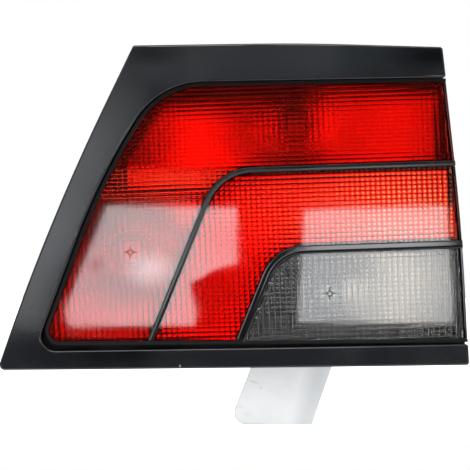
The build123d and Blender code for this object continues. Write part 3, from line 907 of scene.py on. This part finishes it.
def studio_world():
    world = bpy.data.worlds.new("studio")
    scene.world = world
    world.use_nodes = True
    tree = world.node_tree
    tree.nodes.clear()
    coords = tree.nodes.new("ShaderNodeTexCoord")
    toward = vector_math(tree, "DOT_PRODUCT", coords.outputs["Generated"], TOWARD_CAMERA)
    split = tree.nodes.new("ShaderNodeSeparateXYZ")
    tree.links.new(coords.outputs["Generated"], split.inputs["Vector"])
    x, z = split.outputs["X"], split.outputs["Z"]
    height = ramp(tree, ranged(tree, z, 0.0, 1.0, -1.0, 1.0), HEIGHT_STOPS)
    cone = ramp(tree, toward, CAMERA_STOPS)
    side = ramp(tree, ranged(tree, x, 0.0, 1.0, -1.0, 1.0), SIDE_STOPS)
    soft = tree.nodes.new("ShaderNodeBackground")
    tree.links.new(multiplied(tree, multiplied(tree, height, cone), side), soft.inputs["Color"])
    # Light that reaches the reflectors through a lens is stronger from the low left, and gloss gets less.
    path = tree.nodes.new("ShaderNodeLightPath")
    left = ranged(tree, x, 1.0, 0.0, *LEFT_FADE)
    low = ranged(tree, z, 1.0, 0.0, *LOW_FADE)
    gain = ranged(tree, joined(tree, "MULTIPLY", left, low), 1.0, LOW_LEFT_GAIN, 0.0, 1.0)
    inside = joined(tree, "MULTIPLY", path.outputs["Is Transmission Ray"], gain)
    outside = ranged(tree, path.outputs["Is Glossy Ray"], 1.0, GLOSSY_SHARE, 0.0, 1.0)
    tree.links.new(joined(tree, "ADD", inside, outside), soft.inputs["Strength"])
    white = tree.nodes.new("ShaderNodeBackground")
    white.inputs["Color"].default_value = (*WHITE, 1.0)
    chosen = tree.nodes.new("ShaderNodeMixShader")
    tree.links.new(path.outputs["Is Camera Ray"], chosen.inputs["Fac"])
    tree.links.new(soft.outputs["Background"], chosen.inputs[1])
    tree.links.new(white.outputs["Background"], chosen.inputs[2])
    out = tree.nodes.new("ShaderNodeOutputWorld")
    tree.links.new(chosen.outputs["Shader"], out.inputs["Surface"])


studio_world()

# Window lights beside the camera: strength, the outline on the front that mirrors them, and their
# clouds there, in millimetres.
WINDOWS = {
    "window_left": (
        9.0,
        [
            (-209.3, -62.7),
            (-125.5, -64.5),
            (-125.5, -100),
            (-140, -104),
            (-156, -113),
            (-151.5, -133),
            (-153, -140),
            (-234.3, -141),
            (-236.6, -130.7),
        ],
        [
            Spot(-182, -104, 20, 14, 0.8),
            Spot(-216, -101, 6, 8, -0.35, lean=40),
            Spot(-133, -83, 22, 26, -0.2),
        ],
    ),
    "window_right": (
        8.0,
        [(-82, -66), (9.5, -63), (14, -138.3), (-86.5, -138)],
        [Spot(-20, -80, 45, 14, 0.2)],
    ),
    "fill_left": (
        2.4,
        [(-300, 45), (-186, 45), (-186, 12), (-216, -48), (-256, -140), (-300, -140)],
        [Spot(-242, -88, 34, 48, 0.3), Spot(-190, 30, 60, 65, -0.85)],
    ),
    "fill_top": (
        0.5,
        [(-184, 70), (-60, 70), (-60, 22), (-184, 20)],
        [Spot(-170, 40, 30, 30, -0.2)],
    ),
}
# How much larger a spot on a card is than its image in the crowned front.
MIRROR_GAIN = 4.0
CLOUD_SCALE = 4.0
CLOUD_STOPS = [(0.3, (0.82, 0.86, 0.9)), (0.7, WHITE)]


def mirrored_in(x, z):
    """Place beside the camera that the front mirrors at x and z."""
    point = np.array([x, float(inner_face(x, z, 0.0)), z]) * MM
    normal = point - CROWN * MM
    normal = normal / np.linalg.norm(normal)
    ray = point - np.array(eye.location)
    ray = ray - 2 * ray.dot(normal) * normal
    return point + ray * (eye.location.y - point[1]) / ray[1]


def window_light(name, strength, clouds):
    """Glow of a card, which its clouds raise or lower from the given strength."""
    glow, tree, bsdf = shader(name + "_light")
    tree.nodes.remove(bsdf)
    light = tree.nodes.new("ShaderNodeEmission")
    tree.links.new(ramp(tree, noise_of(tree, CLOUD_SCALE), CLOUD_STOPS), light.inputs["Color"])
    spots = []
    for cloud in clouds:
        place = mirrored_in(cloud.x, cloud.z) / MM
        wide = cloud.wide * MIRROR_GAIN
        high = cloud.high * MIRROR_GAIN
        spots.append(cloud._replace(x=place[0], z=place[2], wide=wide, high=high))
    shade = ranged(tree, patches(tree, spots), 0.0, 2 * strength, -1.0, 1.0)
    tree.links.new(shade, light.inputs["Strength"])
    tree.links.new(light.outputs["Emission"], tree.nodes["Material Output"].inputs["Surface"])
    return glow


for name, (strength, outline, clouds) in WINDOWS.items():
    corners = [mirrored_in(x, z) for x, z in outline]
    card = mesh_object(name, corners, [tuple(range(len(corners)))])
    card.data.materials.append(window_light(name, strength, clouds))

# Key light from above and the left, in metres and watts.
KEY_WIDE = 1.6
KEY_HIGH = 1.2
KEY_POWER = 25.0
KEY_PLACE = Vector((-0.5, -1.1, 1.5))
KEY_AIM = Vector((-0.12, -0.03, -0.08))
key = bpy.data.lights.new("key", "AREA")
key.shape = "RECTANGLE"
key.size = KEY_WIDE
key.size_y = KEY_HIGH
key.energy = KEY_POWER
key_lamp = link(bpy.data.objects.new("key", key))
key_lamp.location = KEY_PLACE
key_lamp.rotation_euler = (KEY_AIM - KEY_PLACE).to_track_quat("-Z", "Y").to_euler()

scene.view_settings.view_transform = "Standard"
